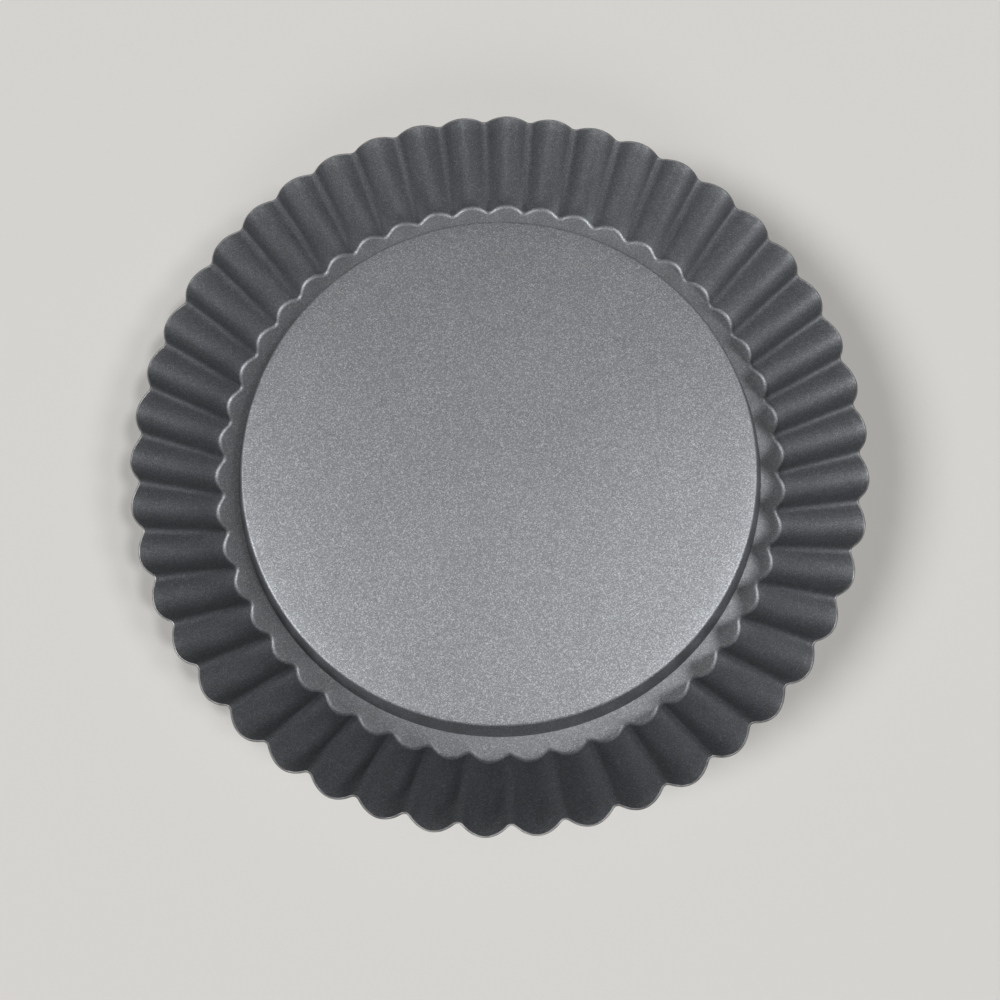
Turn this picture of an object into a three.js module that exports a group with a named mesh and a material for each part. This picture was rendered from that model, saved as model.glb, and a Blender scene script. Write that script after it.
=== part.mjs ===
// A loose-bottomed quiche pan pressed from coated sheet steel. The fluted ring carries a narrow ledge at its
// foot, and a raised base stands on that ledge and lifts straight out.
// Millimetres, +Z up. The origin is on the table, on the pan's axis, and a lobe of the wall points along +X.
import * as THREE from 'three';

// The sheet of both pieces
const sheet = 0.8;

// The fluted wall, measured on the inside of the sheet
const fluteCount = 46;
const ridgeShare = 0.22; // part of each flute that its inward ridge takes, the lobe takes the rest
const rimRadius = 139.4; // edge, at the middle of a lobe
const rimFluteDepth = 4.8; // edge, from the middle of a lobe in to a ridge
const wallHeight = 35.6; // floor to edge, at the middle of a lobe
const ridgeRise = 2.8; // how much higher the edge stands at a ridge
const footRadius = 121.4; // foot, at the middle of a lobe
const footFluteDepth = 3; // foot, from the middle of a lobe in to a ridge
const footBend = 2; // bend between wall and ledge

// The raised base
const channelWidth = 6.7; // floor between the foot of a ridge and the foot of the base
const baseHeight = 13.8; // floor to the top of the base
const skirtDraft = THREE.MathUtils.degToRad(24); // lean of the skirt from upright
const shoulderBend = 0.7; // bend between top and skirt, inside of the sheet

// The ring's collar, which stands inside the skirt and keeps the base centred
const collarHeight = 5; // above the floor
const collarClearance = 0.7; // collar to skirt, square to both

// Facets
const fluteArcSteps = 2; // on each half of a lobe and of a ridge
const footBendSteps = 2;
const shoulderSteps = 4;
const baseSegments = 2 * fluteCount;

// Levels and radii that the two pieces share
const floorLevel = sheet;
const baseTopLevel = floorLevel + baseHeight;
const collarTopLevel = floorLevel + collarHeight;
const baseFootRadius = footRadius - footFluteDepth - channelWidth;

const coating = { color: 0x4b4c4f, roughness: 0.5, metalness: 0.55 };

// Radius, at a level, of a cone that lies a given depth of metal and air inside the skirt's outer face
function skirtRadius(depth, level) {
  return baseFootRadius - (level - floorLevel) * Math.tan(skirtDraft) - depth / Math.cos(skirtDraft);
}

// Points of a round bend, from one angle to another
function bend(centreRadius, centreLevel, radius, from, to, steps) {
  const arc = new THREE.EllipseCurve(centreRadius, centreLevel, radius, radius, from, to, to < from);
  return arc.getPoints(steps);
}

// Section through collar, ledge and wall as (radius, level) points, anticlockwise from the collar's foot
function ringSection(foot, rim, edgeLevel) {
  const flare = Math.atan2(rim - foot, edgeLevel - floorLevel);
  const bendReach = footBend / Math.tan((Math.PI / 2 + flare) / 2);
  const bendRadius = foot - bendReach;
  const bendLevel = floorLevel + footBend;
  const collarFace = sheet + collarClearance;
  const collarBack = collarFace + sheet;
  return [
    new THREE.Vector2(skirtRadius(collarFace, floorLevel), floorLevel),
    new THREE.Vector2(skirtRadius(collarFace, collarTopLevel), collarTopLevel),
    new THREE.Vector2(skirtRadius(collarBack, collarTopLevel), collarTopLevel),
    new THREE.Vector2(skirtRadius(collarBack, 0), 0),
    ...bend(bendRadius, bendLevel, footBend + sheet, -Math.PI / 2, -flare, footBendSteps),
    new THREE.Vector2(rim + sheet * Math.cos(flare), edgeLevel - sheet * Math.sin(flare)),
    new THREE.Vector2(rim, edgeLevel),
    ...bend(bendRadius, bendLevel, footBend, -flare, -Math.PI / 2, footBendSteps),
  ];
}

// Phases of one flute's columns, from the ridge at -1 through the middle of the lobe at 0
function flutePhases() {
  const half = [];
  for (let step = 0; step < fluteArcSteps; step += 1) {
    half.push((1 - ridgeShare) * step / fluteArcSteps);
  }
  for (let step = 0; step < fluteArcSteps; step += 1) {
    half.push(1 - ridgeShare * (1 - step / fluteArcSteps));
  }
  const mirrored = half.slice(1).reverse().map((phase) => -phase);
  return [-1, ...mirrored, ...half];
}

// How far the wall has come from lobe (0) to ridge (1): two parabolas that meet with one slope
function ridgeBlend(phase) {
  const distance = Math.abs(phase);
  const lobeShare = 1 - ridgeShare;
  if (distance < lobeShare) {
    return distance ** 2 / lobeShare;
  }
  return 1 - (1 - distance) ** 2 / ridgeShare;
}

function flutedRingGeometry() {
  const edgeLevel = floorLevel + wallHeight;
  const lobe = ringSection(footRadius, rimRadius, edgeLevel);
  const ridge = ringSection(footRadius - footFluteDepth, rimRadius - rimFluteDepth, edgeLevel + ridgeRise);
  const phases = flutePhases();
  const rows = lobe.length;
  const columns = fluteCount * phases.length;
  const positions = [];
  const triangles = [];
  for (let column = 0; column < columns; column += 1) {
    const flute = Math.floor(column / phases.length);
    const phase = phases[column % phases.length];
    const angle = (flute + phase / 2) * 2 * Math.PI / fluteCount;
    const nextColumn = (column + 1) % columns;
    for (let row = 0; row < rows; row += 1) {
      const point = lobe[row].clone().lerp(ridge[row], ridgeBlend(phase));
      positions.push(point.x * Math.cos(angle), point.x * Math.sin(angle), point.y);
      const nextRow = (row + 1) % rows;
      const here = column * rows + row;
      const beside = nextColumn * rows + row;
      const above = column * rows + nextRow;
      const across = nextColumn * rows + nextRow;
      triangles.push(here, beside, across, here, across, above);
    }
  }
  const geometry = new THREE.BufferGeometry();
  geometry.setAttribute('position', new THREE.Float32BufferAttribute(positions, 3));
  geometry.setIndex(triangles);
  geometry.computeVertexNormals();
  return geometry;
}

function looseBaseGeometry() {
  const outerBend = shoulderBend + sheet;
  const bendLevel = baseTopLevel - outerBend;
  const bendRadius = skirtRadius(outerBend, bendLevel);
  const profile = [
    new THREE.Vector2(0, baseTopLevel - sheet),
    ...bend(bendRadius, bendLevel, shoulderBend, Math.PI / 2, skirtDraft, shoulderSteps),
    new THREE.Vector2(skirtRadius(sheet, floorLevel), floorLevel),
    new THREE.Vector2(baseFootRadius, floorLevel),
    ...bend(bendRadius, bendLevel, outerBend, skirtDraft, Math.PI / 2, shoulderSteps),
    new THREE.Vector2(0, baseTopLevel),
  ];
  return new THREE.LatheGeometry(profile, baseSegments).rotateX(Math.PI / 2);
}

function piece(name, geometry) {
  const mesh = new THREE.Mesh(geometry, new THREE.MeshStandardMaterial(coating));
  mesh.name = name;
  return mesh;
}

const quichePan = new THREE.Group();
quichePan.add(piece('fluted_ring', flutedRingGeometry()));
quichePan.add(piece('loose_base', looseBaseGeometry()));

export default quichePan;
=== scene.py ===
# A loose-bottomed quiche pan in dark non-stick steel, on a pale floor.
import bmesh
import bpy
import math
from mathutils import Matrix, Vector


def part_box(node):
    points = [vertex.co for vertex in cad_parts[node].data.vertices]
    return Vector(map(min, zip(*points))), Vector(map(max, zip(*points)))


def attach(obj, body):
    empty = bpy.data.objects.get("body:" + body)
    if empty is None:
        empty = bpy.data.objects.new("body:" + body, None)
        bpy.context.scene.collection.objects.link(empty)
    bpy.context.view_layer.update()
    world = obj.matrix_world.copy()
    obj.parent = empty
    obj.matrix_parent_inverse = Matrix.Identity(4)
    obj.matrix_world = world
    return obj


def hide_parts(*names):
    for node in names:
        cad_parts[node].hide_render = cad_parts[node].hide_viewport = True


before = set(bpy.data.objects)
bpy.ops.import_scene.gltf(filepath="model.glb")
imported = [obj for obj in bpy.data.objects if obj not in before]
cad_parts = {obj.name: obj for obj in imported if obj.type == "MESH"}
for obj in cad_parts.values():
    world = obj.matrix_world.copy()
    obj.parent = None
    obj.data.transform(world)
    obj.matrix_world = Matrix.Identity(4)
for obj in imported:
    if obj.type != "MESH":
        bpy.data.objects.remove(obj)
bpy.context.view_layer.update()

MM = 0.001

# Levels and radii in metres, as the frame has them
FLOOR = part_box("loose_base")[0].z
BASE_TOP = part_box("loose_base")[1].z
BASE_FOOT_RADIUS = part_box("loose_base")[1].x
RIM_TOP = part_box("fluted_ring")[1].z
SHEET = FLOOR  # the base stands on the ledge, which is one sheet thick

# The fluted wall, on the inside of the sheet
FLUTES = 46
RIDGE_SHARE = 0.22
RIM_RADIUS = 139.4 * MM
RIM_FLUTE_DEPTH = 4.8 * MM
RIDGE_RISE = 2.8 * MM
FOOT_RADIUS = 121.4 * MM
FOOT_FLUTE_DEPTH = 3.0 * MM
FOOT_BEND = 2.0 * MM

# The base's skirt and shoulder, and the collar that stands inside the skirt
SKIRT_DRAFT = math.radians(24)
SHOULDER_BEND = 1.5 * MM
COLLAR_HEIGHT = 5.0 * MM
COLLAR_CLEARANCE = 0.7 * MM
COLLAR_BEND = 0.4 * MM

# Mesh density
HALF_FLUTE_COLUMNS = 16
WALL_CUTS = 7
BEND_SEGMENTS = 6
BASE_SIDES = 320
BASE_INSET = 8.0 * MM
BASE_INSET_COUNT = 12
EDGE_SOFTENING = 0.16 * MM
EDGE_SEGMENTS = 3
CUT_EDGE_ANGLE = math.radians(60)
SMOOTH_ANGLE = math.radians(40)
NEAR = 0.01 * MM

# The coating's tone, and its flakes, haze and grain
COATING_TONE = (0.33, 0.34, 0.358)
GRAZING_TINT = (0.2, 0.2, 0.2, 1.0)
FLAKES_PER_METRE = 3000.0
DULL_FLAKE = -0.44
COMMON_FLAKE = 0.06
COMMON_FLAKE_PLACE = 0.75
BRIGHT_FLAKE = 0.80
HAZE_PER_METRE = 22.0
HAZE_IN_TONE = 0.06
HAZE_IN_GLOSS = 0.04
GRAIN_PER_METRE = 2200.0
GRAIN_HEIGHT = 0.05 * MM
GRAIN_STRENGTH = 0.3

# The cut edge's tones and finish, and the patches in which the tones change; the lighter tone is a painted
# highlight
COATED_EDGE = (0.15, 0.15, 0.15, 1.0)
# painted highlight: the light grey of the light line along the rim
EDGE_HIGHLIGHT_TONE = (0.30, 0.295, 0.29, 1.0)
PATCHES_PER_METRE = 260.0
COATED_UP_TO = 0.35
HIGHLIGHT_FROM = 0.65
EDGE_METALLIC = 0.6
EDGE_ROUGHNESS = 0.35

# The camera of the photograph, from the even spacing of the flutes along the rim
EYE = Vector((0.0050, -0.0673, 0.3013))
LOOK = Vector((-0.01427, 0.17176, -0.98504))
IMAGE_RIGHT = Vector((0.99989, 0.0, -0.0145))
FLUTE_TURN = math.radians(2.197)
LENS_OVER_WIDTH = 0.718
SENSOR_WIDTH = 36.0
NEAREST_SEEN = 0.01

# The stage
STAGE_WIDTH = 60.0
STAGE_TONE = (0.66, 0.645, 0.62, 1.0)
STAGE_ROUGHNESS = 0.9
BACKDROP_TONE = (0.67, 0.655, 0.625, 1.0)
BACKDROP_IN_COATING = 0.2  # the part of the backdrop's brightness that the coating shows
FILL_STRENGTH = 0.012


# Selecting and shaping in edit mode
def begin_edit():
    bpy.ops.object.mode_set(mode="EDIT")
    bpy.ops.mesh.select_mode(type="VERT")


def end_edit():
    bpy.ops.object.mode_set(mode="OBJECT")


def select_where(piece, wanted):
    """Selects the vertices whose place passes the test, with the edges and faces between them."""
    mesh = bmesh.from_edit_mesh(piece.data)
    for vertex in mesh.verts:
        vertex.select_set(wanted(vertex.co))
    mesh.select_flush_mode()
    bmesh.update_edit_mesh(piece.data)


def select_level(piece, level):
    select_where(piece, lambda place: abs(place.z - level) < NEAR)


def spread_radius(factor):
    """Scales the selected loop about the pan's axis."""
    bpy.ops.transform.resize(value=(factor, factor, 1.0), center_override=(0.0, 0.0, 0.0))


def raise_by(height):
    bpy.ops.transform.translate(value=(0.0, 0.0, height))


def extrude_loop(height, factor):
    """Draws the selected loop out to a new one, higher or lower and wider or narrower."""
    bpy.ops.mesh.extrude_edges_move(TRANSFORM_OT_translate={"value": (0.0, 0.0, height)})
    spread_radius(factor)


def apply_modifier(piece, kind, **settings):
    modifier = piece.modifiers.new(kind.title(), kind)
    for name, value in settings.items():
        setattr(modifier, name, value)
    bpy.ops.object.modifier_apply(modifier=modifier.name)


def start_loop(name, sides, radius, level):
    """A bare circle of sheet edge, in edit mode and all selected, from which a piece is drawn."""
    bpy.ops.object.select_all(action="DESELECT")
    bpy.ops.mesh.primitive_circle_add(vertices=sides, radius=radius, fill_type="NOTHING")
    piece = bpy.context.object
    piece.name = name
    piece.data.name = name
    begin_edit()
    raise_by(level)
    return piece


def face_up(piece):
    """Turns the sheet so that its good side is the one seen from above."""
    bpy.ops.mesh.select_all(action="SELECT")
    bpy.ops.mesh.normals_make_consistent(inside=False)
    mesh = bmesh.from_edit_mesh(piece.data)
    if sum(face.normal.z * face.calc_area() for face in mesh.faces) < 0:
        bpy.ops.mesh.flip_normals()


def thicken_sheet(piece):
    """Gives the sheet its thickness on the far side, with its cut edges in the second material."""
    apply_modifier(
        piece, "SOLIDIFY", thickness=SHEET, offset=-1.0, use_even_offset=True,
        use_quality_normals=True, material_offset_rim=1,
    )
    apply_modifier(
        piece, "BEVEL", width=EDGE_SOFTENING, segments=EDGE_SEGMENTS, limit_method="ANGLE",
        angle_limit=CUT_EDGE_ANGLE,
    )
    bpy.ops.object.shade_smooth_by_angle(angle=SMOOTH_ANGLE)


# The fluted ring
def flute_step(place):
    """How many columns a place lies from the middle of its lobe."""
    pitch = 2 * math.pi / FLUTES
    turns = math.atan2(place.y, place.x) / pitch
    return round(abs(turns - round(turns)) * 2 * HALF_FLUTE_COLUMNS)


def ridge_blend(distance):
    """How far the wall has come from lobe (0) to ridge (1): two parabolas that meet with one slope."""
    lobe_share = 1 - RIDGE_SHARE
    if distance < lobe_share:
        return distance ** 2 / lobe_share
    return 1 - (1 - distance) ** 2 / RIDGE_SHARE


def flute_loop(piece, level, radius, depth, rise):
    """Draws a round loop in to its ridges, one set of columns at a time, and lifts it there."""
    for step in range(1, HALF_FLUTE_COLUMNS + 1):
        blend = ridge_blend(step / HALF_FLUTE_COLUMNS)
        select_where(
            piece, lambda place: abs(place.z - level) < NEAR and flute_step(place) == step
            and place.xy.length > radius - NEAR
        )
        spread_radius(1 - depth * blend / radius)
        raise_by(rise * blend)


def select_wall_edges(piece, foot_level, rim_level):
    """Selects the edges that run up the wall, and nothing else."""
    bpy.ops.mesh.select_all(action="DESELECT")
    bpy.ops.mesh.select_mode(type="EDGE")
    mesh = bmesh.from_edit_mesh(piece.data)
    for edge in mesh.edges:
        heights = sorted(vertex.co.z for vertex in edge.verts)
        edge.select_set(heights[0] < foot_level and heights[1] > rim_level)
    bmesh.update_edit_mesh(piece.data)


def model_ring():
    rim_level = RIM_TOP - RIDGE_RISE
    wall_height = rim_level - FLOOR
    collar_foot = BASE_FOOT_RADIUS - (SHEET + COLLAR_CLEARANCE) / math.cos(SKIRT_DRAFT)
    collar_top = collar_foot - COLLAR_HEIGHT * math.tan(SKIRT_DRAFT)
    ring = start_loop("pan_ring", 2 * HALF_FLUTE_COLUMNS * FLUTES, FOOT_RADIUS, FLOOR)
    extrude_loop(wall_height, RIM_RADIUS / FOOT_RADIUS)
    select_level(ring, FLOOR)
    extrude_loop(0.0, collar_foot / FOOT_RADIUS)
    extrude_loop(COLLAR_HEIGHT, collar_top / collar_foot)
    flute_loop(ring, FLOOR, FOOT_RADIUS, FOOT_FLUTE_DEPTH, 0.0)
    flute_loop(ring, rim_level, RIM_RADIUS, RIM_FLUTE_DEPTH, RIDGE_RISE)
    flare = math.atan2(RIM_RADIUS - FOOT_RADIUS, wall_height)
    foot_reach = FOOT_BEND / math.tan((math.pi / 2 + flare) / 2)
    least_foot = FOOT_RADIUS - FOOT_FLUTE_DEPTH - NEAR
    select_where(ring, lambda place: abs(place.z - FLOOR) < NEAR and place.xy.length > least_foot)
    bpy.ops.mesh.bevel(offset=foot_reach, segments=BEND_SEGMENTS, affect="EDGES")
    select_where(ring, lambda place: abs(place.z - FLOOR) < NEAR and place.xy.length < collar_foot + NEAR)
    bpy.ops.mesh.bevel(offset=COLLAR_BEND, segments=BEND_SEGMENTS, affect="EDGES")
    select_wall_edges(ring, FLOOR + FOOT_BEND, FLOOR + wall_height - NEAR)
    bpy.ops.mesh.subdivide(number_cuts=WALL_CUTS)
    face_up(ring)
    end_edit()
    return ring


# The loose base
def model_base():
    foot_level = FLOOR + SHEET * math.sin(SKIRT_DRAFT)
    foot_radius = BASE_FOOT_RADIUS - (foot_level - FLOOR) * math.tan(SKIRT_DRAFT)
    corner_radius = BASE_FOOT_RADIUS - (BASE_TOP - FLOOR) * math.tan(SKIRT_DRAFT)
    base = start_loop("pan_base", BASE_SIDES, foot_radius, foot_level)
    extrude_loop(BASE_TOP - foot_level, corner_radius / foot_radius)
    bpy.ops.mesh.edge_face_add()
    bpy.ops.mesh.select_mode(type="FACE")
    for inset in range(BASE_INSET_COUNT):
        bpy.ops.mesh.inset(thickness=BASE_INSET)
    bpy.ops.mesh.poke()
    bpy.ops.mesh.select_mode(type="VERT")
    select_where(
        base, lambda place: abs(place.z - BASE_TOP) < NEAR and place.xy.length > corner_radius - NEAR
    )
    shoulder_reach = SHOULDER_BEND * math.tan((math.pi / 2 - SKIRT_DRAFT) / 2)
    bpy.ops.mesh.bevel(offset=shoulder_reach, segments=BEND_SEGMENTS, affect="EDGES")
    face_up(base)
    end_edit()
    return base


# Finishes
def node(tree, kind, operation=None, **inputs):
    """Adds a shader node and sets the named inputs, linking those that are sockets."""
    made = tree.nodes.new(kind)
    if operation:
        made.operation = operation
    for name, value in inputs.items():
        socket = made.inputs[name.replace("_", " ")]
        if isinstance(value, bpy.types.NodeSocket):
            tree.links.new(value, socket)
        else:
            socket.default_value = value
    return made


def coating_tone(level):
    """The coating's colour, lighter or darker by a factor."""
    return (*(level * part for part in COATING_TONE), 1.0)


def non_stick_coating(name, tone, flake_contrast, roughness):
    """Dark satin coating with fine metal flake in it, a little uneven in tone and gloss."""
    material = bpy.data.materials.new(name)
    material.use_nodes = True
    tree = material.node_tree
    shader = tree.nodes["Principled BSDF"]
    place = tree.nodes.new("ShaderNodeTexCoord").outputs["Object"]
    cells = node(tree, "ShaderNodeTexVoronoi", Vector=place, Scale=FLAKES_PER_METRE)
    flake = node(tree, "ShaderNodeSeparateColor", Color=cells.outputs["Color"]).outputs["Red"]
    ramp = node(tree, "ShaderNodeValToRGB", Fac=flake)
    ramp.color_ramp.elements[0].color = coating_tone(tone * (1.0 + DULL_FLAKE * flake_contrast))
    ramp.color_ramp.elements[1].color = coating_tone(tone * (1.0 + BRIGHT_FLAKE * flake_contrast))
    common = ramp.color_ramp.elements.new(COMMON_FLAKE_PLACE)
    common.color = coating_tone(tone * (1.0 + COMMON_FLAKE * flake_contrast))
    haze = node(tree, "ShaderNodeTexNoise", Vector=place, Scale=HAZE_PER_METRE, Detail=3.0)
    tint = node(tree, "ShaderNodeMapRange", Value=haze.outputs["Fac"],
                To_Min=1.0 - HAZE_IN_TONE, To_Max=1.0 + HAZE_IN_TONE)
    shade = node(tree, "ShaderNodeVectorMath", "SCALE", Vector=ramp.outputs["Color"],
                 Scale=tint.outputs["Result"])
    tree.links.new(shade.outputs["Vector"], shader.inputs["Base Color"])
    gloss = node(tree, "ShaderNodeMapRange", Value=haze.outputs["Fac"],
                 To_Min=roughness - HAZE_IN_GLOSS, To_Max=roughness + HAZE_IN_GLOSS)
    tree.links.new(gloss.outputs["Result"], shader.inputs["Roughness"])
    grain = node(tree, "ShaderNodeTexNoise", Vector=place, Scale=GRAIN_PER_METRE, Detail=2.0)
    bump = node(tree, "ShaderNodeBump", Height=grain.outputs["Fac"],
                Strength=GRAIN_STRENGTH, Distance=GRAIN_HEIGHT)
    tree.links.new(bump.outputs["Normal"], shader.inputs["Normal"])
    shader.inputs["Metallic"].default_value = 1.0
    shader.inputs["Specular Tint"].default_value = GRAZING_TINT
    return material


def cut_edge():
    """The trimmed edge of the sheet, coated dark, with lighter patches of painted highlight that stand in
    for the light line along the rim.
    """
    material = bpy.data.materials.new("cut_edge")
    material.use_nodes = True
    tree = material.node_tree
    shader = tree.nodes["Principled BSDF"]
    place = tree.nodes.new("ShaderNodeTexCoord").outputs["Object"]
    # patches where the edge takes the painted highlight tone
    highlight_patches = node(tree, "ShaderNodeTexNoise", Vector=place, Scale=PATCHES_PER_METRE, Detail=3.0)
    ramp = node(tree, "ShaderNodeValToRGB", Fac=highlight_patches.outputs["Fac"])
    ramp.color_ramp.elements[0].position = COATED_UP_TO
    ramp.color_ramp.elements[0].color = COATED_EDGE
    ramp.color_ramp.elements[1].position = HIGHLIGHT_FROM
    ramp.color_ramp.elements[1].color = EDGE_HIGHLIGHT_TONE
    tree.links.new(ramp.outputs["Color"], shader.inputs["Base Color"])
    shader.inputs["Metallic"].default_value = EDGE_METALLIC
    shader.inputs["Roughness"].default_value = EDGE_ROUGHNESS
    return material


def pale_floor():
    material = bpy.data.materials.new("pale_floor")
    material.use_nodes = True
    shader = material.node_tree.nodes["Principled BSDF"]
    shader.inputs["Base Color"].default_value = STAGE_TONE
    shader.inputs["Roughness"].default_value = STAGE_ROUGHNESS
    return material


# The stage
def lay_floor():
    bpy.ops.object.select_all(action="DESELECT")
    bpy.ops.mesh.primitive_plane_add(size=STAGE_WIDTH)
    floor = bpy.context.object
    floor.name = "studio_floor"
    floor.data.materials.append(pale_floor())


def hang_lamp(name, bearing, height, spread, strength):
    """A soft lamp far off. Its bearing from +X, height above the floor and spread are in degrees."""
    lamp = bpy.data.lights.new(name, "SUN")
    lamp.angle = math.radians(spread)
    lamp.energy = strength
    turn = Matrix.Rotation(math.radians(bearing), 3, "Z")
    away = turn @ Vector((math.cos(math.radians(height)), 0.0, math.sin(math.radians(height))))
    holder = bpy.data.objects.new(name, lamp)
    holder.rotation_mode = "QUATERNION"
    holder.rotation_quaternion = away.to_track_quat("Z", "Y")
    bpy.context.scene.collection.objects.link(holder)


def larger(tree, first, second):
    """The larger of two shader values."""
    made = node(tree, "ShaderNodeMath", "MAXIMUM")
    tree.links.new(first, made.inputs[0])
    tree.links.new(second, made.inputs[1])
    return made.outputs["Value"]


def light_stage():
    """Strong side lamps, weaker ones above, behind and in front, and a pale backdrop that lights little."""
    world = bpy.data.worlds.new("studio")
    world.use_nodes = True
    tree = world.node_tree
    fill = tree.nodes["Background"]
    fill.inputs["Color"].default_value = (1.0, 1.0, 1.0, 1.0)
    fill.inputs["Strength"].default_value = FILL_STRENGTH
    backdrop = node(tree, "ShaderNodeBackground", Color=BACKDROP_TONE)
    rays = tree.nodes.new("ShaderNodeLightPath").outputs
    mirrored = larger(tree, rays["Is Glossy Ray"], rays["Is Transmission Ray"])
    faint = node(tree, "ShaderNodeMapRange", Value=mirrored, To_Max=BACKDROP_IN_COATING)
    seen = larger(tree, rays["Is Camera Ray"], faint.outputs["Result"])
    choice = node(tree, "ShaderNodeMixShader", Fac=seen)
    tree.links.new(fill.outputs["Background"], choice.inputs[1])
    tree.links.new(backdrop.outputs["Background"], choice.inputs[2])
    tree.links.new(choice.outputs["Shader"], tree.nodes["World Output"].inputs["Surface"])
    bpy.context.scene.world = world
    hang_lamp("right_lamp", bearing=-15, height=45, spread=10, strength=0.7)
    hang_lamp("upper_right_lamp", bearing=-14, height=56, spread=6, strength=1.0)
    hang_lamp("left_lamp", bearing=190, height=41, spread=20, strength=2.05)
    hang_lamp("overhead_lamp", bearing=-90, height=85, spread=20, strength=0.10)
    hang_lamp("far_lamp", bearing=90, height=68, spread=20, strength=0.08)
    hang_lamp("near_lamp", bearing=-90, height=30, spread=20, strength=0.5)


def place_camera():
    """The photograph's view: the pan is turned by part of a flute, so the camera turns back instead."""
    camera = bpy.data.cameras.new("photo_camera")
    camera.sensor_width = SENSOR_WIDTH
    camera.lens = LENS_OVER_WIDTH * SENSOR_WIDTH
    camera.clip_start = NEAREST_SEEN
    look = (LOOK - IMAGE_RIGHT * LOOK.dot(IMAGE_RIGHT)).normalized()
    image_right = IMAGE_RIGHT.normalized()
    image_up = image_right.cross(look)
    turn = Matrix.Rotation(-FLUTE_TURN, 3, "Z")
    axes = turn @ Matrix((image_right, image_up, -look)).transposed()
    holder = bpy.data.objects.new("photo_camera", camera)
    holder.location = turn @ EYE
    holder.rotation_mode = "QUATERNION"
    holder.rotation_quaternion = axes.to_quaternion()
    bpy.context.scene.collection.objects.link(holder)
    bpy.context.scene.camera = holder


def dress(piece, coating, body, cad_node):
    piece.data.materials.append(coating)
    piece.data.materials.append(cut_edge())
    thicken_sheet(piece)
    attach(piece, body)
    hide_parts(cad_node)


bpy.context.scene.view_settings.view_transform = "Standard"
place_camera()
# The ring and the base share one coating. The ring's copy is painted shade: a darker tone and weaker flakes
# stand in for the shade on its walls. The base's copy is painted light: a lighter tone stands in for the
# light on its top.
shaded_ring_coating = non_stick_coating("ring_non_stick_painted_shade", tone=0.88, flake_contrast=0.60, roughness=0.53)
lit_base_coating = non_stick_coating("base_non_stick_painted_light", tone=1.05, flake_contrast=0.75, roughness=0.56)
dress(model_ring(), shaded_ring_coating, "ring", "fluted_ring")
dress(model_base(), lit_base_coating, "base", "loose_base")
lay_floor()
light_stage()
